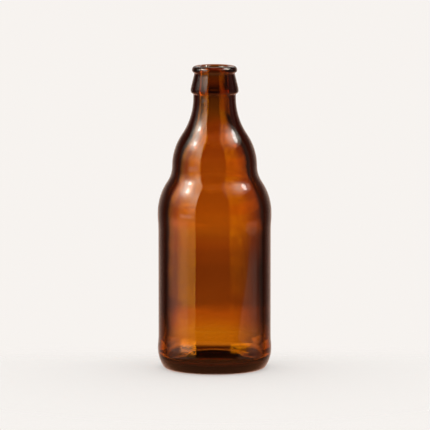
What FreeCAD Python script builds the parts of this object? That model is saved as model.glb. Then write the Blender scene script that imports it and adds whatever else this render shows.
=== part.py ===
"""Steinie beer bottle: one piece of glass for 33 cl, with a bulge above a waist and a crown finish.

The bottle stands on the bearing ring of its base. The origin is at the middle of the base, in the
plane that the ring rests on, and +Z runs up the axis of the bottle. Sizes are in millimetres.
Every sketch lies in the XZ plane of the body, so its x is a radius and its y is a height.
"""
import FreeCAD
import Part
import math
import os

import Sketcher
from FreeCAD import Vector

# Driving dimensions: name, millimetres, meaning.
SIZES = [
    ("height", 181.5, "base plane to the top of the lip"),
    ("body_radius", 33.85, "the two contact bands, the widest part of the body"),
    ("panel_recess", 0.4, "label panel below the contact bands"),
    ("low_blend", 6.0, "height of the soft step at the foot of the panel"),
    ("high_blend", 9.0, "height of the soft step at the head of the panel"),
    ("heel_top", 11.85, "where the heel leaves the lower contact band"),
    ("heel_sweep", 20.4, "long radius of the heel"),
    ("heel_foot", 3.5, "short radius that turns under to the bearing ring"),
    ("low_band_top", 12.95, "top of the lower contact band"),
    ("high_band_base", 92.6, "bottom of the upper contact band"),
    ("shoulder_base", 93.4, "where the shoulder leaves the upper contact band"),
    ("bulge_height", 121.4, "widest level of the bulge above the waist"),
    ("bulge_radius", 25.22, "the bulge above the waist"),
    ("waist_sweep", 16.0, "hollow radius of the waist"),
    ("neck_base", 162.5, "where the straight neck starts"),
    ("neck_radius", 12.55, "the straight neck"),
    ("neck_sweep", 39.0, "hollow radius from the bulge into the neck"),
    ("collar_base", 164.7, "underside of the collar"),
    ("collar_radius", 14.12, "the collar, the ring that stiffens the finish"),
    ("collar_bead", 1.9, "rounding of the collar's lower edge"),
    ("collar_land", 1.2, "short upright band of the collar"),
    ("lip_radius", 13.3, "the crown lip that a cap grips"),
    ("lip_under", 1.5, "rounding under the lip"),
    ("lip_band", 0.25, "short upright band of the lip"),
    ("lip_crown", 2.4, "rounding over the top of the lip"),
    ("bearing_inner", 26.2, "inner radius of the flat bearing ring"),
    ("push_up", 3.6, "height of the hollow under the base"),
    ("floor_height", 5.35, "lowest level of the inside floor"),
    ("floor_dome", 2.6, "rise of the inside floor to its middle"),
    ("floor_corner", 4.8, "inside corner between floor and wall"),
    ("body_bore", 30.4, "inside of the body"),
    ("waist_sweep_bore", 19.0, "inside hollow radius of the waist"),
    ("bulge_bore", 22.0, "inside of the bulge"),
    ("neck_sweep_bore", 42.5, "inside hollow radius from the bulge into the neck"),
    ("neck_bore", 8.9, "bore at the base of the straight neck"),
    ("mouth_bore", 8.1, "bore at the mouth"),
    ("lip_fillet", 0.8, "hollow between the lip and the cone"),
    ("cone_fillet", 4.0, "soft edge between the cone and the collar"),
    ("neck_fillet", 0.5, "hollow between the collar and the neck"),
    ("mouth_fillet", 1.8, "rounding of the mouth's inner edge"),
    ("bearing_fillet", 1.2, "rounding between the bearing ring and the push-up"),
]
SOLID_NAME = "bottle"
PAST = 2.0  # how far a cutting sketch runs past the glass
START, END, CENTRE = 1, 2, 3  # the sketcher's names for the points of a piece
ORIGIN = -1  # the sketcher's own origin, which is the start of its level axis
UPRIGHT = -2  # the sketcher's upright axis, which is the axis of the bottle
GLASS_DENSITY = 2.5e-3  # grams in a cubic millimetre


def make_sheet(doc):
    """The spreadsheet that drives every sketch and feature, each size under its own name."""
    sheet = doc.addObject("Spreadsheet::Sheet", "Sizes")
    for row, (name, value, meaning) in enumerate(SIZES, start=1):
        sheet.set(f"A{row}", name)
        sheet.set(f"B{row}", str(value))
        sheet.set(f"C{row}", meaning)
        sheet.setAlias(f"B{row}", name)
    doc.recompute()
    return {name: value for name, value, _ in SIZES}


class Outline:
    """A closed outline in the XZ plane, drawn piece by piece and tied to the sheet as it goes."""

    def __init__(self, body, name):
        self.sketch = body.newObject("Sketcher::SketchObject", name)
        plane = next(f for f in body.Origin.OriginFeatures if f.Role == "XZ_Plane")
        self.sketch.AttachmentSupport = [(plane, "")]
        self.sketch.MapMode = "FlatFace"
        self.first = None
        self.last = None

    def tie(self, kind, *where):
        self.sketch.addConstraint(Sketcher.Constraint(kind, *where))

    def bind(self, kind, where, expression, value):
        """Adds a dimension that starts at value and then follows the sheet."""
        index = self.sketch.addConstraint(Sketcher.Constraint(kind, *where, value))
        self.sketch.setExpression(f"Constraints[{index}]", expression)

    def out(self, piece, point, expression, value):
        """Holds a point's distance from the axis."""
        self.bind("DistanceX", (ORIGIN, START, piece, point), expression, value)

    def up(self, piece, point, expression, value):
        """Holds a point's height above the base plane."""
        self.bind("DistanceY", (ORIGIN, START, piece, point), expression, value)

    def radius(self, piece, name, value):
        self.bind("Radius", (piece,), f"Sizes.{name}", value)

    def _join(self, piece, enters, leaves, smooth):
        if self.last is None:
            self.first = (piece, enters)
        else:
            self.tie("Tangent" if smooth else "Coincident", *self.last, piece, enters)
        self.last = (piece, leaves)

    def line(self, start, end, smooth=False):
        """A straight piece, held upright or level where its two ends say so."""
        segment = Part.LineSegment(Vector(*start, 0), Vector(*end, 0))
        piece = self.sketch.addGeometry(segment, False)
        self._join(piece, START, END, smooth)
        if start[0] == end[0]:
            self.tie("Vertical", piece)
        elif start[1] == end[1]:
            self.tie("Horizontal", piece)
        return piece

    def arc(self, centre, radius, begins, finishes, smooth=True):
        """A round piece between two angles in degrees, either way round."""
        low, high = sorted((math.radians(begins), math.radians(finishes)))
        circle = Part.Circle(Vector(*centre, 0), Vector(0, 0, 1), radius)
        piece = self.sketch.addGeometry(Part.ArcOfCircle(circle, low, high), False)
        enters, leaves = (START, END) if finishes > begins else (END, START)
        self._join(piece, enters, leaves, smooth)
        return piece

    def dome(self, centre_z, radius, lean):
        """A shallow arc from the axis outward, with its centre on the axis."""
        piece = self.arc((0, centre_z), radius, 90, lean)
        self.tie("PointOnObject", piece, CENTRE, UPRIGHT)
        self.tie("PointOnObject", piece, END, UPRIGHT)
        return piece

    def climb(self, size, low, high, sweep):
        """Two arcs from an upright tangent at low to a narrower one at high: a full arc, and then
        a hollow one of the sweep's radius."""
        (r_low, z_low), (r_high, z_high) = low, high
        hollow_r = size[sweep]
        turn = 2 * math.atan2(r_low - r_high, z_high - z_low)
        full_r = (z_high - z_low) / math.sin(turn) - hollow_r
        turn = math.degrees(turn)
        self.arc((r_low - full_r, z_low), full_r, 0, turn)
        hollow = self.arc((r_high + hollow_r, z_high), hollow_r, 180 + turn, 180)
        self.radius(hollow, sweep, hollow_r)
        return hollow

    def close(self):
        self.tie("Coincident", *self.last, *self.first)
        return self.sketch


def draw_base(o, size):
    """From the axis out along the base, round the heel and up to the lower contact band."""
    body_r, heel_top = size["body_radius"], size["heel_top"]
    sweep, foot = size["heel_sweep"], size["heel_foot"]
    turn = math.asin((heel_top - foot) / (sweep - foot))
    foot_r = body_r - sweep + (sweep - foot) * math.cos(turn)
    base = o.line((0, 0), (foot_r, 0))
    o.tie("Coincident", base, START, ORIGIN, START)
    under = o.arc((foot_r, foot), foot, -90, -math.degrees(turn))
    o.radius(under, "heel_foot", foot)
    heel = o.arc((body_r - sweep, heel_top), sweep, -math.degrees(turn), 0)
    o.radius(heel, "heel_sweep", sweep)


def soft_step(rise, drop):
    """The radius and the turn, in radians, of two equal arcs that step aside over a height."""
    turn = 2 * math.atan2(drop, rise)
    return rise / math.sin(turn) / 2, turn


def draw_body(o, size):
    """The two contact bands with the label panel between them, set back by soft double steps."""
    body_r, drop = size["body_radius"], size["panel_recess"]
    panel_r = body_r - drop
    low_base, low_top = size["heel_top"], size["low_band_top"]
    high_base, high_top = size["high_band_base"], size["shoulder_base"]
    foot, head = low_top + size["low_blend"], high_base - size["high_blend"]

    band = o.line((body_r, low_base), (body_r, low_top), smooth=True)
    o.up(band, START, "Sizes.heel_top", low_base)
    o.up(band, END, "Sizes.low_band_top", low_top)
    o.out(band, END, "Sizes.body_radius", body_r)
    bend, turn = soft_step(size["low_blend"], drop)
    full = o.arc((body_r - bend, low_top), bend, 0, math.degrees(turn))
    hollow = o.arc((panel_r + bend, foot), bend, 180 + math.degrees(turn), 180)
    o.tie("Equal", full, hollow)

    panel = o.line((panel_r, foot), (panel_r, head), smooth=True)
    o.up(panel, START, "Sizes.low_band_top + Sizes.low_blend", foot)
    o.up(panel, END, "Sizes.high_band_base - Sizes.high_blend", head)
    o.out(panel, START, "Sizes.body_radius - Sizes.panel_recess", panel_r)
    bend, turn = soft_step(size["high_blend"], drop)
    hollow = o.arc((panel_r + bend, head), bend, 180, 180 - math.degrees(turn))
    full = o.arc((body_r - bend, high_base), bend, -math.degrees(turn), 0)
    o.tie("Equal", full, hollow)

    band = o.line((body_r, high_base), (body_r, high_top), smooth=True)
    o.up(band, START, "Sizes.high_band_base", high_base)
    o.up(band, END, "Sizes.shoulder_base", high_top)
    o.out(band, END, "Sizes.body_radius", body_r)


def draw_shoulder(o, size):
    """Shoulder and waist up to the bulge, then the long curve from the bulge into the neck."""
    widest = (size["bulge_radius"], size["bulge_height"])
    waist = o.climb(size, (size["body_radius"], size["shoulder_base"]), widest, "waist_sweep")
    o.out(waist, START, "Sizes.bulge_radius", widest[0])
    o.up(waist, START, "Sizes.bulge_height", widest[1])
    o.tie("Horizontal", waist, START, waist, CENTRE)
    o.climb(size, widest, (size["neck_radius"], size["neck_base"]), "neck_sweep")


def draw_finish(o, size):
    """The straight neck, the collar with its bead, land and cone, and the crown lip."""
    neck_r, neck_z = size["neck_radius"], size["neck_base"]
    collar_r, bead = size["collar_radius"], size["collar_bead"]
    land_base = size["collar_base"] + bead
    meets = -math.acos((neck_r - (collar_r - bead)) / bead)
    neck = o.line((neck_r, neck_z), (neck_r, land_base + bead * math.sin(meets)), smooth=True)
    o.out(neck, START, "Sizes.neck_radius", neck_r)
    o.up(neck, START, "Sizes.neck_base", neck_z)
    edge = o.arc((collar_r - bead, land_base), bead, math.degrees(meets), 0, smooth=False)
    o.radius(edge, "collar_bead", bead)
    land_top = land_base + size["collar_land"]
    land = o.line((collar_r, land_base), (collar_r, land_top), smooth=True)
    o.out(land, START, "Sizes.collar_radius", collar_r)
    o.up(land, START, "Sizes.collar_base + Sizes.collar_bead", land_base)
    o.bind("DistanceY", (land, START, land, END), "Sizes.collar_land", size["collar_land"])

    height, lip_r = size["height"], size["lip_radius"]
    crown, under = size["lip_crown"], size["lip_under"]
    band_base = height - crown - size["lip_band"]
    o.line((collar_r, land_top), (lip_r - under, band_base - under))
    below = o.arc((lip_r - under, band_base), under, -90, 0, smooth=False)
    o.radius(below, "lip_under", under)
    o.tie("Vertical", below, START, below, CENTRE)
    band = o.line((lip_r, band_base), (lip_r, height - crown), smooth=True)
    o.out(band, START, "Sizes.lip_radius", lip_r)
    o.bind("DistanceY", (band, START, band, END), "Sizes.lip_band", size["lip_band"])
    over = o.arc((lip_r - crown, height - crown), crown, 0, 90)
    o.radius(over, "lip_crown", crown)
    top = o.line((lip_r - crown, height), (0, height), smooth=True)
    o.up(top, END, "Sizes.height", height)
    o.line((0, height), (0, 0))


def make_outside(body, size):
    """The outside of the bottle, turned into a full solid."""
    o = Outline(body, "OutsideOutline")
    draw_base(o, size)
    draw_body(o, size)
    draw_shoulder(o, size)
    draw_finish(o, size)
    return revolve(body, "PartDesign::Revolution", "Outside", o.close())


def make_inside(body, size):
    """The room for the drink: domed floor, body, waist, bulge, neck and mouth."""
    o = Outline(body, "InsideOutline")
    bore, floor, corner = size["body_bore"], size["floor_height"], size["floor_corner"]
    rim, rise = bore - corner, size["floor_dome"]
    # The dome is centred on the axis, and its circle touches the corner's circle from outside.
    dome = (rim**2 + (corner - rise) ** 2 - corner**2) / (2 * rise)
    dome_z = floor + rise - dome
    lean = math.degrees(math.atan2(floor + corner - dome_z, rim))
    middle = o.dome(dome_z, dome, lean)
    o.up(middle, END, "Sizes.floor_height + Sizes.floor_dome", floor + rise)
    edge = o.arc((rim, floor + corner), corner, lean - 180, 0)
    o.radius(edge, "floor_corner", corner)
    o.up(edge, CENTRE, "Sizes.floor_height + Sizes.floor_corner", floor + corner)
    wall = o.line((bore, floor + corner), (bore, size["shoulder_base"]), smooth=True)
    o.out(wall, END, "Sizes.body_bore", bore)
    o.up(wall, END, "Sizes.shoulder_base", size["shoulder_base"])

    widest = (size["bulge_bore"], size["bulge_height"])
    waist = o.climb(size, (bore, size["shoulder_base"]), widest, "waist_sweep_bore")
    o.out(waist, START, "Sizes.bulge_bore", widest[0])
    o.up(waist, START, "Sizes.bulge_height", widest[1])
    o.tie("Horizontal", waist, START, waist, CENTRE)
    neck = (size["neck_bore"], size["neck_base"])
    sweep = o.climb(size, widest, neck, "neck_sweep_bore")
    o.out(sweep, START, "Sizes.neck_bore", neck[0])
    o.up(sweep, START, "Sizes.neck_base", neck[1])
    o.tie("Horizontal", sweep, START, sweep, CENTRE)

    mouth, height = size["mouth_bore"], size["height"]
    o.line(neck, (mouth, height))
    past = o.line((mouth, height), (mouth, height + PAST))
    o.out(past, START, "Sizes.mouth_bore", mouth)
    o.up(past, START, "Sizes.height", height)
    o.tie("DistanceY", past, START, past, END, PAST)
    o.line((mouth, height + PAST), (0, height + PAST))
    o.line((0, height + PAST), (0, floor + rise))
    return revolve(body, "PartDesign::Groove", "Inside", o.close())


def make_push_up(body, size):
    """The shallow dome under the base, which leaves the bearing ring to stand on."""
    o = Outline(body, "PushUpOutline")
    rim, rise = size["bearing_inner"], size["push_up"]
    dome = (rim**2 + rise**2) / (2 * rise)
    middle = o.dome(rise - dome, dome, math.degrees(math.acos(rim / dome)))
    o.up(middle, END, "Sizes.push_up", rise)
    side = o.line((rim, 0), (rim, -PAST))
    o.out(side, START, "Sizes.bearing_inner", rim)
    o.tie("PointOnObject", side, START, ORIGIN)
    o.tie("DistanceY", side, END, side, START, PAST)
    o.line((rim, -PAST), (0, -PAST))
    o.line((0, -PAST), (0, rise))
    return revolve(body, "PartDesign::Groove", "PushUp", o.close())


def revolve(body, kind, name, sketch):
    """Turns an outline once round the axis, to add glass or to take it away."""
    body.Document.recompute()
    feature = body.newObject(kind, name)
    feature.Profile = sketch
    feature.ReferenceAxis = (sketch, ["V_Axis"])
    feature.Angle = 360
    body.Document.recompute()
    return feature


def ring_edge(shape, radius, height):
    """The name of the full circle of that radius at that height, round the axis."""
    for number, edge in enumerate(shape.Edges, start=1):
        if edge.Degenerated or not isinstance(edge.Curve, Part.Circle):
            continue
        if abs(edge.Curve.Radius - radius) < 0.02 and abs(edge.Curve.Center.z - height) < 0.02:
            return f"Edge{number}"
    raise ValueError(f"no edge of radius {radius} at height {height}")


def round_edges(body, size):
    """The small roundings of the moulded glass, each on one ring-shaped edge."""
    collar_r, bead = size["collar_radius"], size["collar_bead"]
    land_base = size["collar_base"] + bead
    bead_drop = math.sqrt(bead**2 - (size["neck_radius"] - collar_r + bead) ** 2)
    cone_top = size["height"] - size["lip_crown"] - size["lip_band"] - size["lip_under"]
    rings = [
        ("LipHollow", "lip_fillet", size["lip_radius"] - size["lip_under"], cone_top),
        ("ConeEdge", "cone_fillet", collar_r, land_base + size["collar_land"]),
        ("CollarHollow", "neck_fillet", size["neck_radius"], land_base - bead_drop),
        ("MouthEdge", "mouth_fillet", size["mouth_bore"], size["height"]),
        ("BearingEdge", "bearing_fillet", size["bearing_inner"], 0),
    ]
    for name, width, radius, height in rings:
        base = body.Tip
        edge = ring_edge(base.Shape, radius, height)
        fillet = body.newObject("PartDesign::Fillet", name)
        fillet.Base = (base, [edge])
        fillet.Radius = size[width]
        fillet.setExpression("Radius", f"Sizes.{width}")
        body.Document.recompute()


def check(doc, body, filled, hollowed, standing):
    """Stops on any broken feature, and says what the bottle holds and weighs."""
    for obj in doc.Objects:
        if "Invalid" in obj.State or "Error" in obj.State:
            raise ValueError(f"{obj.Name} is {obj.State}")
        if obj.isDerivedFrom("Sketcher::SketchObject") and not obj.FullyConstrained:
            raise ValueError(f"{obj.Name} is not fully constrained")
    shape = body.Shape
    if shape.isNull() or not shape.isValid() or len(shape.Solids) != 1:
        raise ValueError("the bottle is not one sound solid")
    room, below = filled - hollowed, hollowed - standing
    if not 330e3 < room < 365e3 or not 2e3 < below < 8e3:
        raise ValueError(f"a cut missed the glass: {room:.0f} and {below:.0f} mm3")
    box = shape.optimalBoundingBox()
    print(f"holds {room / 1000:.1f} ml to the brim, hollow below {below / 1000:.2f} ml")
    print(f"glass {shape.Volume:.0f} mm3, {shape.Volume * GLASS_DENSITY:.0f} g")
    print(f"x {box.XMin:.2f} to {box.XMax:.2f}, z {box.ZMin:.2f} to {box.ZMax:.2f}")
    print(f"{len(shape.Faces)} faces, centre of mass {shape.Solids[0].CenterOfMass.z:.1f} up")


def main():
    doc = FreeCAD.newDocument("SteinieBottle")
    size = make_sheet(doc)
    body = doc.addObject("PartDesign::Body", "Bottle")
    body.Label = SOLID_NAME
    filled = make_outside(body, size).Shape.Volume
    hollowed = make_inside(body, size).Shape.Volume
    standing = make_push_up(body, size).Shape.Volume
    round_edges(body, size)
    doc.recompute()
    check(doc, body, filled, hollowed, standing)
    os.makedirs("parts", exist_ok=True)
    body.Shape.exportStep(f"parts/{SOLID_NAME}.step")


main()
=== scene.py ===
# %% [markdown]
# # A steinie beer bottle in amber glass
#
# A steinie is a short, stout beer bottle: a crown finish, hardly any neck, a bulge above a waisted
# shoulder, and a straight body. The real one is blown in a two-part iron mould, so its outside is
# as true as turned metal, its inside is only as even as the air that blew it, and two fine seams
# run up opposite sides. This script builds that glass as one closed mesh with real wall thickness,
# gives it a glass that takes its brown from depth, and stands it in a small bright-field studio.

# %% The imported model
import math

import bpy
import numpy as np
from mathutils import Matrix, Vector


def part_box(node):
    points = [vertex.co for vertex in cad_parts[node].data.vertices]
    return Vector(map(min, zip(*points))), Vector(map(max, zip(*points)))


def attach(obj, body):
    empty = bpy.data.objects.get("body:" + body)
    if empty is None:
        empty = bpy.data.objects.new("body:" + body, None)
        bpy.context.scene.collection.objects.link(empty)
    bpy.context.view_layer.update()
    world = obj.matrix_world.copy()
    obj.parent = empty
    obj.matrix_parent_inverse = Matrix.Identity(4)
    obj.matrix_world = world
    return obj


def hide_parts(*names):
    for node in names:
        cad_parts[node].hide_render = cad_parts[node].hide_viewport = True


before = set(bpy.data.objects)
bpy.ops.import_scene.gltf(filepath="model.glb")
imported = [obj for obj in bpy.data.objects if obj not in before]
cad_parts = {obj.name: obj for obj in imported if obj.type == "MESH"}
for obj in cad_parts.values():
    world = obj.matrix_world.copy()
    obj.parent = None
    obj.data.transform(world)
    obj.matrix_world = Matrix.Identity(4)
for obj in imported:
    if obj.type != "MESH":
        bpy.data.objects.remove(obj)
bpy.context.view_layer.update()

MM = 0.001
NODE = "bottle"
box_low, box_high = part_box(NODE)
HEIGHT = (box_high.z - box_low.z) / MM
BODY = box_high.x / MM
print(f"the bottle is {HEIGHT:.1f} mm tall and {2 * BODY:.1f} mm across")

# %% [markdown]
# ## An outline of lines and arcs
#
# A bottle is turned round its axis, so its whole shape lies in one outline of radius against
# height. A spline through measured points would wobble, and a glassworks drawing never has one: it
# has straight lines and arcs that touch. The outline here is a chain of those, walked with the
# glass always on the left: out under the base, up the outside, over the lip and down the inside. It
# is traced in tiny steps first. Where two pieces meet at a corner, a ball is rolled into it, as a
# fillet is, and only at the end are the steps thinned to the rows that the mesh needs.

# %% Lines, arcs and the rolled ball
TRACE = 0.02  # step of the first tracing, in mm


def line(start, end):
    """Fine steps along a straight line."""
    steps = max(2, math.ceil(math.dist(start, end) / TRACE))
    return np.linspace(start, end, steps + 1)


def arc(centre, radius, begins, finishes):
    """Fine steps along an arc between two angles in degrees, either way round."""
    steps = max(2, math.ceil(math.radians(abs(finishes - begins)) * radius / TRACE))
    turn = np.radians(np.linspace(begins, finishes, steps + 1))
    return np.c_[centre[0] + radius * np.cos(turn), centre[1] + radius * np.sin(turn)]


def climb(low, high, hollow):
    """From an upright tangent at low to a narrower one at high: a full arc, then a hollow one."""
    (r_low, z_low), (r_high, z_high) = low, high
    turn = 2 * math.atan2(r_low - r_high, z_high - z_low)
    full = (z_high - z_low) / math.sin(turn) - hollow
    turn = math.degrees(turn)
    first = arc((r_low - full, z_low), full, 0, turn)
    return np.vstack([first, arc((r_high + hollow, z_high), hollow, 180 + turn, 180)])


def beside(path, distance):
    """The path moved to its left by a distance."""
    along = np.gradient(path, axis=0)
    along /= np.linalg.norm(along, axis=1)[:, None]
    return path + distance * np.c_[-along[:, 1], along[:, 0]]


def roll(before, after, radius, side):
    """The two paths as one, their corner rounded by a ball. side is 1 for a ball in the glass on
    the left, and -1 for one in the air. The ball's centre is where the two shifted paths cross."""
    reach = int(4 * radius / TRACE)
    first, second = beside(before, side * radius)[-reach:], beside(after, side * radius)[:reach]
    gaps = np.linalg.norm(first[:, None] - second[None], axis=2)
    i, j = np.unravel_index(gaps.argmin(), gaps.shape)
    i += len(before) - len(first)
    centre = (beside(before, side * radius)[i] + second[j]) / 2
    begins = math.atan2(*(before[i] - centre)[::-1])
    finishes = math.atan2(*(after[j] - centre)[::-1])
    turn = side * ((side * (finishes - begins)) % (2 * math.pi))
    ball = arc(centre, radius, math.degrees(begins), math.degrees(begins + turn))
    return np.vstack([before[:i], ball, after[j + 1 :]])


def thin(path, most_turn, longest):
    """Keeps a point where the path has turned enough or run on long enough since the last."""
    steps = np.diff(path, axis=0)
    heading = np.unwrap(np.arctan2(steps[:, 1], steps[:, 0]))
    kept, run = [0], 0.0
    for i in range(1, len(path) - 1):
        run += math.hypot(*steps[i - 1])
        if abs(heading[i] - heading[kept[-1]]) >= math.radians(most_turn) or run >= longest:
            kept.append(i)
            run = 0.0
    return path[kept + [len(path) - 1]]


# %% [markdown]
# ## Base and body
#
# The bottle stands on a narrow bearing ring, and its base is pushed up inside that, so it cannot
# rock. The heel turns up in two arcs, a tight one and a long one. Above it the straight body has
# two contact bands, which rub on other bottles in the filling line, and between them a panel set
# back by four tenths of a millimetre, where a label would be safe. One more short arc each way, or
# a bevel on a cylinder, would look nearly the same from afar, but the soft double step is what
# catches a thin line of light at each end of the panel.

# %% The base and the body
PUSH_UP = 3.6
BEARING_INNER = 26.2
BEARING_ROUND = 1.2
HEEL_FOOT = 3.5
HEEL_SWEEP = 20.4
HEEL_TOP = 11.85
LOW_BAND_TOP = 12.95
HIGH_BAND_BASE = 92.6
SHOULDER_BASE = 93.4
PANEL_RECESS = 0.4
PANEL = BODY - PANEL_RECESS
LOW_BLEND = 6.0
HIGH_BLEND = 9.0


def base_and_heel():
    """Under the base from the axis out, then round the heel to the lower contact band."""
    dome = (BEARING_INNER**2 + PUSH_UP**2) / (2 * PUSH_UP)
    lean = math.degrees(math.acos(BEARING_INNER / dome))
    turn = math.asin((HEEL_TOP - HEEL_FOOT) / (HEEL_SWEEP - HEEL_FOOT))
    foot = BODY - HEEL_SWEEP + (HEEL_SWEEP - HEEL_FOOT) * math.cos(turn)
    hollow = arc((0, PUSH_UP - dome), dome, 90, lean)
    bearing = line((BEARING_INNER, 0), (foot, 0))
    under = arc((foot, HEEL_FOOT), HEEL_FOOT, -90, -math.degrees(turn))
    sweep = arc((BODY - HEEL_SWEEP, HEEL_TOP), HEEL_SWEEP, -math.degrees(turn), 0)
    return np.vstack([roll(hollow, bearing, BEARING_ROUND, 1), under, sweep])


def soft_step(r_start, z_start, r_end, z_end):
    """Two equal arcs between two upright lines, out or in, going up."""
    turn = 2 * math.atan2(r_start - r_end, z_end - z_start)
    half = (z_end - z_start) / math.sin(turn) / 2
    turn = math.degrees(turn)
    first = arc((r_start - half, z_start), half, 0, turn)
    return np.vstack([first, arc((r_end + half, z_end), half, 180 + turn, 180)])


def straight_body():
    """Lower contact band, panel and upper contact band."""
    return np.vstack([
        line((BODY, HEEL_TOP), (BODY, LOW_BAND_TOP)),
        soft_step(BODY, LOW_BAND_TOP, PANEL, LOW_BAND_TOP + LOW_BLEND),
        line((PANEL, LOW_BAND_TOP + LOW_BLEND), (PANEL, HIGH_BAND_BASE - HIGH_BLEND)),
        soft_step(PANEL, HIGH_BAND_BASE - HIGH_BLEND, BODY, HIGH_BAND_BASE),
        line((BODY, HIGH_BAND_BASE), (BODY, SHOULDER_BASE)),
    ])


# %% [markdown]
# ## Shoulder, waist, bulge and neck
#
# What makes a steinie is this double curve. The shoulder rounds over and dips into a waist, then a
# bulge swells out of it and sweeps up into a short neck. Each half is the same figure, a full arc
# that a hollow arc takes over, upright at both ends, so one function draws both.

# %% The double curve
BULGE = 25.22
BULGE_HEIGHT = 121.4
WAIST_SWEEP = 16.0
NECK = 12.55
NECK_BASE = 162.5
NECK_SWEEP = 39.0


def shoulder_to_neck():
    return np.vstack([
        climb((BODY, SHOULDER_BASE), (BULGE, BULGE_HEIGHT), WAIST_SWEEP),
        climb((BULGE, BULGE_HEIGHT), (NECK, NECK_BASE), NECK_SWEEP),
    ])


# %% [markdown]
# ## The crown finish
#
# Glassmakers call the top of a bottle its finish. This one is made for a crown cap, whose skirt
# grips under the round lip. Below it a cone runs out to a collar, by which the machine holds the
# hot bottle, and the collar's underside is a bead. Its corners are rounded by rolling a ball into
# the air side of a hollow corner and the glass side of a full one.

# %% The finish
COLLAR_BASE = 164.7
COLLAR = 14.12
COLLAR_BEAD = 1.9
COLLAR_LAND = 1.2
LIP = 13.3
LIP_UNDER = 1.5
LIP_BAND = 0.25
LIP_CROWN = 2.4
MOUTH = 8.1
NECK_BORE = 8.9
LIP_HOLLOW, CONE_ROUND, COLLAR_HOLLOW, MOUTH_ROUND = 0.8, 4.0, 0.5, 1.8


def finish():
    """Neck, collar, cone and lip, over the mouth and down to the base of the neck's bore."""
    bead_z = COLLAR_BASE + COLLAR_BEAD
    meets = -math.acos((NECK - COLLAR + COLLAR_BEAD) / COLLAR_BEAD)
    neck = line((NECK, NECK_BASE), (NECK, bead_z + COLLAR_BEAD * math.sin(meets)))
    bead = arc((COLLAR - COLLAR_BEAD, bead_z), COLLAR_BEAD, math.degrees(meets), 0)
    land = line((COLLAR, bead_z), (COLLAR, bead_z + COLLAR_LAND))
    band_z = HEIGHT - LIP_CROWN - LIP_BAND
    cone = line(land[-1], (LIP - LIP_UNDER, band_z - LIP_UNDER))
    lip = np.vstack([
        arc((LIP - LIP_UNDER, band_z), LIP_UNDER, -90, 0),
        line((LIP, band_z), (LIP, HEIGHT - LIP_CROWN)),
        arc((LIP - LIP_CROWN, HEIGHT - LIP_CROWN), LIP_CROWN, 0, 90),
        line((LIP - LIP_CROWN, HEIGHT), (MOUTH, HEIGHT)),
    ])
    bore = line((MOUTH, HEIGHT), (NECK_BORE, NECK_BASE))
    collar = roll(neck, np.vstack([bead, land]), COLLAR_HOLLOW, -1)
    path = roll(collar, cone, CONE_ROUND, 1)
    path = roll(path, lip, LIP_HOLLOW, -1)
    return roll(path, bore, MOUTH_ROUND, 1)


# %% [markdown]
# ## The inside
#
# A shell of even thickness, which a Solidify modifier would give, is not how a bottle comes out.
# Air pushes the glass against the mould, so the inside follows the outside more softly: its curves
# are larger, the wall is thick at the lip and at the heel, and the floor is a low dome in the
# middle of a deep rounded corner. That uneven thickness bends light, and it is most of what makes
# glass look like glass, so the inside has an outline of its own.

# %% The inside
BORE = 30.4
BULGE_BORE = 22.0
WAIST_SWEEP_BORE = 19.0
NECK_SWEEP_BORE = 42.5
FLOOR = 5.35
FLOOR_DOME = 2.6
FLOOR_CORNER = 4.8


def inside():
    """From the base of the neck's bore down to the middle of the floor."""
    rim = BORE - FLOOR_CORNER
    dome = (rim**2 + (FLOOR_CORNER - FLOOR_DOME) ** 2 - FLOOR_CORNER**2) / (2 * FLOOR_DOME)
    dome_z = FLOOR + FLOOR_DOME - dome
    lean = math.degrees(math.atan2(FLOOR + FLOOR_CORNER - dome_z, rim))
    up = np.vstack([
        arc((0, dome_z), dome, 90, lean),
        arc((rim, FLOOR + FLOOR_CORNER), FLOOR_CORNER, lean - 180, 0),
        line((BORE, FLOOR + FLOOR_CORNER), (BORE, SHOULDER_BASE)),
        climb((BORE, SHOULDER_BASE), (BULGE_BORE, BULGE_HEIGHT), WAIST_SWEEP_BORE),
        climb((BULGE_BORE, BULGE_HEIGHT), (NECK_BORE, NECK_BASE), NECK_SWEEP_BORE),
    ])
    return up[::-1]


# %% The whole outline
MOST_TURN = 6.0
LONGEST_ROW = 2.6
outside = np.vstack([base_and_heel(), straight_body(), shoulder_to_neck(), finish()])
traced = np.vstack([outside, inside()])
fresh = np.r_[True, np.linalg.norm(np.diff(traced, axis=0), axis=1) > TRACE / 10]
rows = thin(traced[fresh], MOST_TURN, LONGEST_ROW)
print(f"{len(traced)} traced steps thinned to {len(rows)} rows")

# %% [markdown]
# ## One closed mesh
#
# A Screw modifier would turn this outline too, but every column would then be the same. Making the
# points in code leaves room for what a mould and a blowing machine do: two seams, a ring where the
# mould's parts meet, a knurled bearing ring, and an inside that is slightly uneven. The points come
# from one array of rows and columns, so each of these is a small change to that array.

# %% Columns round the bottle
KNURLS = 80
COLUMNS = 4 * KNURLS
SEAM_HALF = 0.45  # mm each side of the seam's crest
seam_step = math.degrees(SEAM_HALF / BODY)
extra = [side + k * seam_step / 2 for side in (0.0, 180.0) for k in (-2, -1, 1, 2)]
angles = np.radians(np.sort(np.r_[np.arange(COLUMNS) * 360 / COLUMNS, extra]))
knurl_column = np.round(np.degrees(angles) * COLUMNS / 360).astype(int) % 4
print(f"{len(angles)} columns, {KNURLS} bars in the bearing ring")


# %% [markdown]
# ## Seams, parting rings and the knurled base
#
# Where two halves of a mould meet, glass creeps into the gap and leaves a rounded ridge a tenth of
# a millimetre high. The base is stamped with short radial bars, which keep the hot glass off the
# conveyor and hide the scratches of later years. A bump map could fake both, but the bars show
# their shape against the light under the glass, so they are raised in the mesh.

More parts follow.
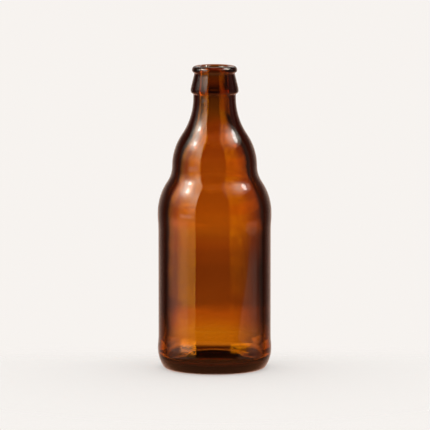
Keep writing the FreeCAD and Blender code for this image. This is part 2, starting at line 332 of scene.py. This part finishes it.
# %% The mould's marks
SEAM_HEIGHT = 0.11
RING_HEIGHT = 0.08
KNURL_DEPTH = 0.28
SEAM_START = 1.2  # the seam begins this far above the floor
LIP_LAND = 3.0  # the seam ends this far outside the mouth
BAFFLE_Z, BAFFLE_HALF = 2.1, 0.25  # the ring where the base plate meets the mould
NECK_RING_Z, NECK_RING_HALF = 163.6, 0.3  # the ring where the neck mould meets the body mould
KNURL_TOP = 0.35  # only glass below this is knurled
KNURL_INSET = 1.5  # the bars reach this far in past the bearing ring


def mould_marks(r, z, on_outside):
    """How far each point of the grid moves out and up, in mm."""
    turn = angles[None, :]
    off_seam = np.abs(np.sin(turn)) * r
    seam = SEAM_HEIGHT * np.clip(1 - off_seam / SEAM_HALF, 0, 1) * (np.abs(np.sin(turn)) < 0.1)
    seam = seam * on_outside * (z > SEAM_START) * (r > MOUTH + LIP_LAND)
    baffle_ring = np.exp(-(((z - BAFFLE_Z) / BAFFLE_HALF) ** 2))
    neck_ring = np.exp(-(((z - NECK_RING_Z) / NECK_RING_HALF) ** 2))
    out = seam + RING_HEIGHT * (baffle_ring + neck_ring) * on_outside
    on_bearing = on_outside * (z < KNURL_TOP) * (r > BEARING_INNER - KNURL_INSET)
    up = KNURL_DEPTH * on_bearing * np.isin(knurl_column, (0, 1))[None, :]
    return out, up


# %% [markdown]
# ## The uneven inside
#
# Nothing touches the inside while the glass is blown, so it settles in long soft waves, mostly a
# few hundredths of a millimetre deep here. They can't be felt, yet they bend every reflection that
# comes off the inner wall. A few seeded sine waves make them: noise from a texture would have too
# much fine detail for glass, which surface tension smooths.

# %% Waves on the inner wall
WAVE_DEPTH = 0.04  # mm
WAVES = 14
CALM_BELOW_RIM = 25  # mm under the mouth over which the waves grow to their full depth
CALM_ROUND_AXIS = 10  # mm from the axis over which they do the same on the floor
draw = np.random.default_rng(31)
waves = [
    (draw.integers(1, 6), draw.uniform(0.02, 0.16), draw.uniform(0, 6.28), draw.uniform(0, 6.28))
    for _ in range(WAVES)
]


def uneven(z):
    """Smooth noise of unit size over angle and height."""
    total = np.zeros((len(z), len(angles)))
    for lobes, per_mm, start, climb_start in waves:
        total += np.sin(lobes * angles[None, :] + start + per_mm * z * 1.7) * np.sin(
            per_mm * z + climb_start
        )
    return total / math.sqrt(len(waves) / 4)


# %% The glass
def turned(rows):
    """The rows turned round the axis, first and last on it, as points in metres and faces."""
    r, z = rows[1:-1, 0:1], rows[1:-1, 1:2]
    top = int(rows[:, 1].argmax())
    on_outside = (np.arange(1, len(rows) - 1) <= top)[:, None]
    out, up = mould_marks(r, z, on_outside)
    calm = np.clip((HEIGHT - z) / CALM_BELOW_RIM, 0, 1) * np.clip(r / CALM_ROUND_AXIS, 0, 1)
    out = out + WAVE_DEPTH * uneven(z) * calm * ~on_outside
    radius = r + out
    points = np.stack(
        [radius * np.cos(angles), radius * np.sin(angles), np.maximum(z + up, 0.0)], axis=-1
    )
    ends = [[0, 0, rows[0, 1]], [0, 0, rows[-1, 1]]]
    around = len(angles)
    count = len(rows) - 2
    faces = []
    for i in range(count - 1):
        for j in range(around):
            k = (j + 1) % around
            here, above = i * around, (i + 1) * around
            faces.append((here + j, here + k, above + k, above + j))
    first, last = count * around, count * around + 1
    for j in range(around):
        k = (j + 1) % around
        faces.append((first, k, j))
        faces.append((last, (count - 1) * around + j, (count - 1) * around + k))
    return np.vstack([points.reshape(-1, 3), ends]) * MM, faces


points, faces = turned(rows)
mesh = bpy.data.meshes.new("glass")
mesh.from_pydata(points.tolist(), [], faces)
mesh.validate()
mesh.shade_smooth()
glass = bpy.data.objects.new("blown_glass", mesh)
bpy.context.collection.objects.link(glass)
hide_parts(NODE)
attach(glass, "root")
triangles = sum(len(face) - 2 for face in faces)
print(f"{len(points)} points and {triangles} triangles")

# %% [markdown]
# ## Sums on sockets
#
# A material is a graph of small nodes, and a sum such as 1 - a * b needs three of them. Written out
# node by node it can't be read, so a small class stands for one socket and takes part in ordinary
# Python sums, and each sum adds its Math node. Every other kind of node is made by one method,
# which sets its settings first, because they can change which sockets it has.

# %% The wire class


class Wire:
    """A node's output socket in a tree, which can be used in sums."""

    def __init__(self, tree, socket=None):
        self.tree = tree
        self.socket = socket

    def node(self, kind, settings=None, inputs=None, out=0):
        """Adds a node: its settings first, then a value or a wire for each socket."""
        made = self.tree.nodes.new(kind)
        for name, value in (settings or {}).items():
            setattr(made, name, value)
        for name, value in (inputs or {}).items():
            if isinstance(value, Wire):
                self.tree.links.new(value.socket, made.inputs[name])
            else:
                made.inputs[name].default_value = value
        return Wire(self.tree, made.outputs[out] if made.outputs else None)

    def sum(self, operation, *terms):
        return self.node("ShaderNodeMath", {"operation": operation}, dict(enumerate(terms)))

    def __add__(self, other):
        return self.sum("ADD", self, other)

    def __radd__(self, other):
        return self.sum("ADD", other, self)

    def __sub__(self, other):
        return self.sum("SUBTRACT", self, other)

    def __rsub__(self, other):
        return self.sum("SUBTRACT", other, self)

    def __mul__(self, other):
        return self.sum("MULTIPLY", self, other)

    def __rmul__(self, other):
        return self.sum("MULTIPLY", other, self)

    def __truediv__(self, other):
        return self.sum("DIVIDE", self, other)

    def __gt__(self, other):
        return self.sum("GREATER_THAN", self, other)

    def rise(self, low, high, floor=0.0, ceiling=1.0):
        """A soft step from floor, below low, to ceiling, above high."""
        inputs = {0: self, 1: low, 2: high, 3: floor, 4: ceiling}
        return self.node("ShaderNodeMapRange", {"interpolation_type": "SMOOTHSTEP"}, inputs)

    def band(self, start, full, fading, gone):
        """1 between full and fading, 0 outside start and gone, soft between."""
        return self.rise(start, full) * self.rise(fading, gone, 1.0, 0.0)


def new_material(name):
    """An empty material, and a wire to start its graph with."""
    made = bpy.data.materials.new(name)
    made.use_nodes = True
    made.node_tree.nodes.clear()
    return made, Wire(made.node_tree)


# %% [markdown]
# ## Amber glass
#
# Amber glass gets its colour from iron and sulphur in the melt, so the colour is inside it and a
# thick place is darker than a thin one. Base Color would tint every place alike. Volume Absorption
# takes light away with distance instead, so the lip, the heel and the base come out darker than the
# body with one set of numbers. The neck's wall is hardly thicker than the body's, and what mostly
# darkens it here is the gel behind it, further down. Colour and density sit on their own sockets.
#
# The skin is fire-polished: it rolls very slightly and is otherwise smooth. It is scuffed only at
# the two contact bands, which rub on other bottles, and where the bottle stands. Coarse noise
# breaks the scuffs into patches and fine noise grains them, and they feed only Roughness and Bump.

# %% The melt
ABSORBED = (0.888, 0.635, 0.059)
DENSITY = 850.0
IOR = 1.52
LOW_RUB = (6, 10, 13, 16)  # heights in mm between which the contact bands are scuffed
HIGH_RUB = (89, 92, 94, 97)


def amber_glass():
    made, start = new_material("amber_glass")
    place = start.node("ShaderNodeTexCoord", out="Object")
    x, y, z = (place.node("ShaderNodeSeparateXYZ", None, {0: place}, axis) / MM for axis in "XYZ")
    radius = x.sum("SQRT", x * x + y * y)
    on_outside = radius.rise(BORE + 1, BODY - 0.6)
    rubbed = on_outside * (z.band(*LOW_RUB) + z.band(*HIGH_RUB))
    touching = rubbed + z.rise(0.2, 0.6, 1, 0)
    fine = place.node("ShaderNodeTexNoise", None, {
        "Vector": place, "Scale": 2600.0, "Detail": 2.0, "Roughness": 0.6,
    })
    coarse = place.node("ShaderNodeTexNoise", None, {"Vector": place, "Scale": 220.0, "Detail": 3.0})
    scuffed = touching * coarse.rise(0.45, 0.75) * fine.rise(0.5, 0.8)
    ripple = place.node("ShaderNodeTexNoise", None, {"Vector": place, "Scale": 60.0, "Detail": 1.0})
    skin = start.node("ShaderNodeBump", None, {
        "Strength": 0.5, "Distance": 0.00002, "Height": ripple + scuffed * 0.3,
    })
    surface = start.node("ShaderNodeBsdfPrincipled", None, {
        "Base Color": (1, 1, 1, 1),
        "Roughness": scuffed * 0.22 + coarse.rise(0.3, 0.8) * 0.006,
        "IOR": IOR,
        "Transmission Weight": 1.0,
        "Normal": skin,
    })
    depth = start.node("ShaderNodeVolumeAbsorption", None, {
        "Color": (*ABSORBED, 1),
        "Density": DENSITY,
    })
    start.node("ShaderNodeOutputMaterial", None, {"Surface": surface, "Volume": depth})
    return made


mesh.materials.append(amber_glass())
both_walls = 2 * (BODY - BORE) * MM
through = [math.exp(-DENSITY * (1 - c) * both_walls) for c in ABSORBED]
print("two walls let through", [round(t, 3) for t in through])

# %% [markdown]
# ## Sorting the rays
#
# Glass shows nothing but its surroundings. A studio lights it with panels, cards and gels placed
# where each kind of path through the bottle ends: light mirrored off the outside, light that came
# straight through both walls, and light that bounced off the inner wall. A Light Path node tells
# these apart, so a panel can be made for one of them without spoiling the others. No real lamp can
# do that. It suits the view it was set for, and from other sides a panel can show as a hard bright
# patch in the glass.

# %% Masks for the rays
def rays(start):
    """Masks for rays that came straight through glass, bounced in the near wall, bounced anywhere
    in it, or mirrored off its outside. The first mask is for the camera's own rays."""
    names = (
        "Is Camera Ray", "Is Glossy Ray", "Is Transmission Ray", "Glossy Depth", "Ray Depth",
    )
    camera, glossy, through, mirrors, depth = (
        start.node("ShaderNodeLightPath", out=name) for name in names
    )
    bounced = through * (mirrors > 0.5)
    near = bounced * (1 - (depth > 4.5))  # in, off the inner wall, out, and on to the panel
    return camera, through - bounced, near, bounced, glossy * (1 - through)


# %% [markdown]
# ## A pale stage
#
# Glass has hardly a look of its own: it shows what stands round it. A studio puts a pale sweep
# behind it for the outline, and large soft panels at the sides, which draw the long bands down the
# body. The floor is a pale disc whose edge fades, so that it meets the background without a line,
# and its alpha does the fading. To the camera it is about half see-through in front and fades out
# behind the bottle, which keeps the shadow soft. Light that came straight through the glass meets a
# dark patch under the bottle, and nothing beyond it. That patch is painted shade: the floor's colour
# turns dark for those rays, and stands for the bottle's shadow under it.

# %% The floor
FLOOR_RADIUS = 0.30
FADE_START = 0.08
BACKGROUND = (0.930, 0.896, 0.866)
SEEN_IN_FRONT = 0.55  # the floor's alpha to the camera, in front of the bottle
GONE_BEHIND = 0.085  # and how far behind the axis it has faded out
PATCH_RADIUS = 0.042  # straight light meets the floor only within this
BOUNCE_RADIUS = 0.09  # bounced light meets little of it beyond this
BOUNCE_LOSS = 0.8


def floor_paint():
    made, start = new_material("pale_floor")
    seen, straight, _, bounced, _ = rays(start)
    place = start.node("ShaderNodeNewGeometry", out="Position")
    far = place.node("ShaderNodeVectorMath", {"operation": "LENGTH"}, {0: place}, "Value")
    deep = place.node("ShaderNodeSeparateXYZ", None, {0: place}, "Y")
    shown = 1 - seen * (1 - SEEN_IN_FRONT * deep.rise(0.0, GONE_BEHIND, 1.0, 0.0))
    left_in = 1 - straight * (far > PATCH_RADIUS) - bounced * (far > BOUNCE_RADIUS) * BOUNCE_LOSS
    # painted shade: rays that came straight through the glass see the floor in a dark colour, which
    # stands for the bottle's shadow under it
    floor_tone_with_painted_shade = start.node("ShaderNodeMix", {"data_type": "RGBA"}, {
        "Factor": straight, 6: (0.93, 0.90, 0.87, 1), 7: (0.25, 0.24, 0.23, 1),
    }, 2)
    surface = start.node("ShaderNodeBsdfPrincipled", None, {
        "Base Color": floor_tone_with_painted_shade,
        "Roughness": 1.0,
        "Specular IOR Level": 0.0,
        "Alpha": shown * far.rise(FADE_START, FLOOR_RADIUS, 1.0, 0.0) * left_in,
    })
    start.node("ShaderNodeOutputMaterial", None, {"Surface": surface})
    return made


def disc(name, radius, sides=128):
    turn = np.linspace(0, 2 * math.pi, sides, endpoint=False)
    corners = np.c_[radius * np.cos(turn), radius * np.sin(turn), np.zeros(sides)]
    plate = bpy.data.meshes.new(name)
    plate.from_pydata(corners.tolist(), [], [tuple(range(sides))])
    made = bpy.data.objects.new(name, plate)
    bpy.context.collection.objects.link(made)
    return made


floor = disc("floor", FLOOR_RADIUS)
floor.data.materials.append(floor_paint())
floor.visible_glossy = False

# %% [markdown]
# ## The studio
#
# The world gives the floor a plain white light, stronger from overhead, and the camera a pale
# background. Rays that came straight through the glass find a row of tall windows in it, one every
# 45 degrees and dimmer low down. To mirrored rays it is nearly dark, as a studio is away from its
# panels, apart from a warm pale edge behind, which outlines the bottle where glass mirrors most,
# and a faint red glow. Four small patches light single places: the mouth, the soft step above the
# heel, and the lines of the base. All these values were fitted to the view from the front, by
# measuring where its rays end and by trial.

# %% The world
DEGREE = 180 / math.pi
studio = bpy.data.worlds.new("studio")
bpy.context.scene.world = studio
studio.use_nodes = True
tree = studio.node_tree
tree.nodes.clear()
start = Wire(tree)

seen, straight, near, bounced, mirrored = rays(start)
direction = start.node("ShaderNodeTexCoord", out="Generated")
east, north, height = (
    direction.node("ShaderNodeSeparateXYZ", None, {0: direction}, axis) for axis in "XYZ"
)
bearing = east.sum("ARCTAN2", east, 0 - north) * DEGREE  # 0 on the camera's side
up = height.sum("ARCSINE", height) * DEGREE
behind = bearing.sum("ABSOLUTE", bearing)

soft = 1 - seen - straight - bounced - mirrored
WINDOW_SPACING = 45
window = bearing.sum("PINGPONG", bearing, WINDOW_SPACING / 2).rise(5, 15, 1.0, 0.06)
window = window * up.rise(-24, -13, 0.34, 1.0) + up.rise(-34, -28, 0.35, 0.0)
window = window * up.rise(-5.6, -4.4, 0.95, 1.2)
high_behind = behind.band(156, 164, 174, 179) * up.band(15, 19, 27, 31)
overhead = up.band(42, 52, 80, 90)
low_behind = behind.rise(160, 172) * up.band(-30, -20, -13.5, -9)
low_left = bearing.band(-78, -70, -52, -44) * up.band(-6, -4, -1, 1)
light = soft * up.rise(5, 75, 0.36, 1.42) + straight * window
light = light + mirrored * (up.band(50, 56, 66, 74) * 0.04 + 0.01)
light = light + mirrored * high_behind * 1.4
light = light + near * overhead * 2.3
light = light + (bounced - near) * low_behind * 1.3
light = light + mirrored * low_left * 0.9
plain = start.node("ShaderNodeBackground", None, {"Color": (1, 1, 1, 1), "Strength": light})
sky = start.node("ShaderNodeBackground", None, {"Color": (*BACKGROUND, 1), "Strength": seen})
edge = start.node("ShaderNodeBackground", None, {
    "Color": (1.0, 0.71, 0.58, 1),
    "Strength": mirrored * behind.rise(118, 178) * up.rise(4, 14, 0.68, 0.25),
})
glow = start.node("ShaderNodeBackground", None, {
    "Color": (1.0, 0.33, 0.13, 1),
    "Strength": (mirrored + near) * 0.06 + mirrored * up.rise(-30, -10, 0.5, 0.0),
})
both = start.node("ShaderNodeAddShader", None, {0: plain, 1: sky})
both = start.node("ShaderNodeAddShader", None, {0: both, 1: edge})
both = start.node("ShaderNodeAddShader", None, {0: both, 1: glow})
start.node("ShaderNodeOutputWorld", None, {"Surface": both})


# %% [markdown]
# ## The gel
#
# What shows through the bottle is near it, so it must differ with height, and a world of directions
# can't. A tall ring of amber gel stands round the bottle and filters the light that comes straight
# through the glass, and no other light. It is clearest at its foot and near the shoulder and
# densest behind the neck, and a denser patch stands behind the bottle at each side. Its stops were
# fitted to the view from the front in the same way, and say nothing about the glass.

# %% The ring
GEL_CLEAR = (  # height in mm, and the share of red light that gets through
    (0, 1.0), (10, 0.93), (17, 0.78), (26, 0.42), (44, 0.37), (54, 0.43), (64, 0.57),
    (80, 0.79), (92, 0.70), (110, 0.65), (115, 0.63), (121.5, 0.46), (130, 0.42),
    (132, 0.43), (134, 0.46), (136, 0.43), (138, 0.36), (141, 0.28), (148, 0.19), (156, 0.115),
    (165, 0.08),
)
GEL_GREEN = (  # height in mm, and green light let through as a share of the red
    (0, 0.98), (20, 0.60), (56, 0.56), (80, 0.72), (128, 0.58), (146, 0.95),
)


def ring(name, radius, low, high, sides=128):
    """An upright band of cloth round the stage, which neither lights the set nor shades it."""
    turn = np.linspace(0, 2 * math.pi, sides, endpoint=False)
    circle = np.c_[radius * np.cos(turn), radius * np.sin(turn)]
    corners = np.vstack([np.c_[circle, np.full(sides, low)], np.c_[circle, np.full(sides, high)]])
    sheets = [(j, (j + 1) % sides, sides + (j + 1) % sides, sides + j) for j in range(sides)]
    band = bpy.data.meshes.new(name)
    band.from_pydata(corners.tolist(), [], sheets)
    made = bpy.data.objects.new(name, band)
    bpy.context.collection.objects.link(made)
    made.visible_camera = False
    made.visible_diffuse = False
    made.visible_shadow = False
    return made


def place_on_ring(start):
    """Bearing from the camera's side in degrees, and height in mm, of a point on a ring."""
    place = start.node("ShaderNodeNewGeometry", out="Position")
    x, y, z = (place.node("ShaderNodeSeparateXYZ", None, {0: place}, axis) for axis in "XYZ")
    return x.sum("ARCTAN2", x, 0 - y) * DEGREE, z / MM


def profile(height, stops):
    """A value by height, with soft steps between the stops."""
    total = stops[0][1]
    for (low, before), (high, after) in zip(stops, stops[1:]):
        total = total + height.rise(low, high, 0.0, after - before)
    return total


gel = ring("gel", 0.10, 0.0, 0.30)
gelatine, start = new_material("amber_gelatine")
_, straight, _, _, _ = rays(start)
bearing, height = place_on_ring(start)
clear = profile(height, GEL_CLEAR)
clear = clear * (1 - bearing.band(120, 150, 157, 174) * height.rise(50, 105, 0.58, 0.0))
clear = clear * (1 - bearing.band(-166, -145, -140, -120) * height.rise(15, 45, 0.6, 0.0))
red = 1 - straight * (1 - clear)
green = 1 - straight * (1 - clear * profile(height, GEL_GREEN))
blue = 1 - straight * 0.8
tint = start.node("ShaderNodeCombineColor", None, {0: red, 1: green, 2: blue})
film = start.node("ShaderNodeBsdfTransparent", None, {"Color": tint})
start.node("ShaderNodeOutputMaterial", None, {"Surface": film})
gel.data.materials.append(gelatine)
gel.visible_glossy = False

# %% [markdown]
# ## The panels
#
# The long pale bands down a glass bottle are its panels, each mirrored twice: in white off the
# outside, and in amber off the inner wall. On the left hang a narrow panel and a broad one with a
# hot spot, on the right a high one and a low one. They hang on a second ring, because the height at
# which a panel begins is what ends its band part way down the body. The amber is two tints, by
# bearing and height, with more of it at the foot of the ring and beside the neck. These stops are
# fitted to that view too.

# %% The panels
NARROW = (
    (-80, 0.15), (-30, 0.27), (20, 0.35), (90, 0.6), (160, 0.75), (280, 1.5), (400, 3.0),
    (520, 4.0), (700, 2.6), (1000, 1.6), (1400, 0.5),
)
BROAD = (
    (-80, 0.30), (-45, 0.64), (-10, 0.60), (60, 0.22), (150, 0.25), (220, 0.6), (280, 0.9),
    (400, 2.1), (520, 5.2), (600, 5.5), (740, 3.5), (1400, 1.5),
)
HOT_LEFT = ((360, 0), (470, 3.2), (580, 6.5), (680, 5.0), (820, 2.5), (1400, 0))
HIGH = ((440, 0.05), (520, 0.7), (600, 2.3), (720, 4.2), (900, 5.0), (1400, 2.0))
LOW = ((-80, 0.14), (-45, 0.29), (-20, 0.29), (10, 0.0))
LEFT_AMBER = (
    (-100, 0.3), (-50, 4.0), (-30, 6.0), (120, 5.4), (265, 8.0), (440, 7.5), (620, 7.5),
    (850, 10.0), (1400, 4.0),
)
SIDE_AMBER = (
    (-60, 0.0), (0, 1.5), (60, 2.0), (110, 1.5), (170, 2.0), (220, 3.4), (280, 4.6), (340, 5.0),
    (520, 6.0), (700, 1.0),
)
RIGHT_AMBER = ((-60, 0.0), (-24, 1.9), (60, 5.8), (120, 5.0), (440, 6.5), (700, 6.0), (1400, 5.0))
FAR_AMBER = ((440, 0.0), (580, 2.5), (800, 5.0), (1400, 4.0))
FOOT = ((-160, 17.0), (-105, 17.0), (-80, 0.0))
SILK_BLUE = 0.87  # undyed silk is slightly warm

panels = ring("panels", 0.60, -0.20, 1.40)
silk, start = new_material("panel_silk")
_, _, near, _, mirrored = rays(start)
bearing, height = place_on_ring(start)
low_edge = height.rise(-75, 0, 48.0, 74.0)
white = bearing.band(-57, -54, -39.8, -38.2) * profile(height, NARROW)
white = white + (
    bearing.rise(-120, -84) * bearing.rise(-57, -54, 1.0, 0.0)
    * profile(height, BROAD)
)
white = white + bearing.band(-96, -80, -72, -60) * profile(height, HOT_LEFT)
right_high = bearing.rise(40, 105, 0.1, 2.2) * bearing.band(20, 30, 106, 120)
white = white + right_high * profile(height, HIGH)
right_low = (bearing - low_edge).rise(-3, 3) * bearing.rise(88, 100, 1.0, 0.0)
white = white + right_low * profile(height, LOW)
amber = bearing.band(-96, -70, -42, -40.5) * profile(height, LEFT_AMBER)
dark_amber = bearing.band(30, 36, 55, 92) * profile(height, RIGHT_AMBER)
dark_amber = dark_amber + bearing.band(50, 66, 80, 95) * profile(height, FAR_AMBER)
beside_neck = height.band(90, 120, 250, 320)
dark_amber = dark_amber + bearing.band(50, 62, 100, 112) * beside_neck * 2.5
dark_amber = dark_amber + bearing.band(-74, -67, -45, -41) * beside_neck * 3.0
feet = bearing.band(-84, -70, -42, -40.5) + bearing.band(34, 38, 70, 90) * 0.8
dark_amber = dark_amber + feet * profile(height, FOOT)
amber = amber + bearing.band(-118, -108, -100, -88) * profile(height, SIDE_AMBER)
sheer = start.node("ShaderNodeBsdfTransparent")
white = mirrored * white
red = white + near * (amber + dark_amber)
green = white + near * (amber * 1.7 + dark_amber * (1.3 - beside_neck * 0.5))
shades = {0: red, 1: green, 2: white * SILK_BLUE}
shine = start.node("ShaderNodeEmission", None, {
    "Color": start.node("ShaderNodeCombineColor", None, shades),
})
start.node("ShaderNodeOutputMaterial", None, {
    "Surface": start.node("ShaderNodeAddShader", None, {0: sheer, 1: shine}),
})
panels.data.materials.append(silk)

# %% [markdown]
# ## Two lamps
#
# One round lamp stands high on each side, and its reflection is the small white glint on the
# shoulder and on the bulge. A disc of the right size gives a round glint. The lamps are hidden from
# the floor: its light, and the bottle's soft shadow in it, come from the world.

# %% The lamps
MIDDLE = Vector((0, 0, HEIGHT / 2 * MM))


def lamp(name, bearing, height, distance, radius, radiance):
    """A round lamp aimed at the bottle. Its power is what gives that radiance."""
    data = bpy.data.lights.new(name, "AREA")
    data.shape = "DISK"
    data.size = 2 * radius
    data.energy = radiance * math.pi * math.pi * radius**2
    made = bpy.data.objects.new(name, data)
    bpy.context.collection.objects.link(made)
    turn, tilt = math.radians(bearing), math.radians(height)
    away = Vector((math.sin(turn) * math.cos(tilt), -math.cos(turn) * math.cos(tilt), math.sin(tilt)))
    made.location = MIDDLE + distance * away
    made.rotation_euler = away.to_track_quat("Z", "Y").to_euler()
    made.visible_diffuse = False  # the glint only: the soft light above lights the floor
    return made


lamp("left_lamp", -75, 39, 1.0, 0.07, 10)
lamp("right_lamp", 90, 42, 1.0, 0.10, 9)

# %% [markdown]
# ## The camera
#
# A long lens from two and a half metres keeps the sides of the bottle straight and the rings of the
# finish flat, as a product shot does. It looks down by a few degrees, just enough to see into the
# mouth's far edge and to show the base as a shallow curve.

# %% The camera
DISTANCE = 2.538
LOOK_DOWN = 7.25
LENS = 355.75  # mm, on a sensor 36 mm wide
NUDGE = Vector((0.24, 0, 1.27)) * MM  # from the bottle's middle to the middle of the frame
eye = bpy.data.cameras.new("camera")
eye.lens = LENS
eye.sensor_width = 36.0
eye.clip_end = 20.0
camera = bpy.data.objects.new("camera", eye)
bpy.context.collection.objects.link(camera)
tilt = math.radians(LOOK_DOWN)
away = Vector((0, -math.cos(tilt), math.sin(tilt)))
camera.location = MIDDLE + DISTANCE * away + NUDGE
camera.rotation_euler = away.to_track_quat("Z", "Y").to_euler()
bpy.context.scene.camera = camera
bpy.context.scene.view_settings.view_transform = "Standard"
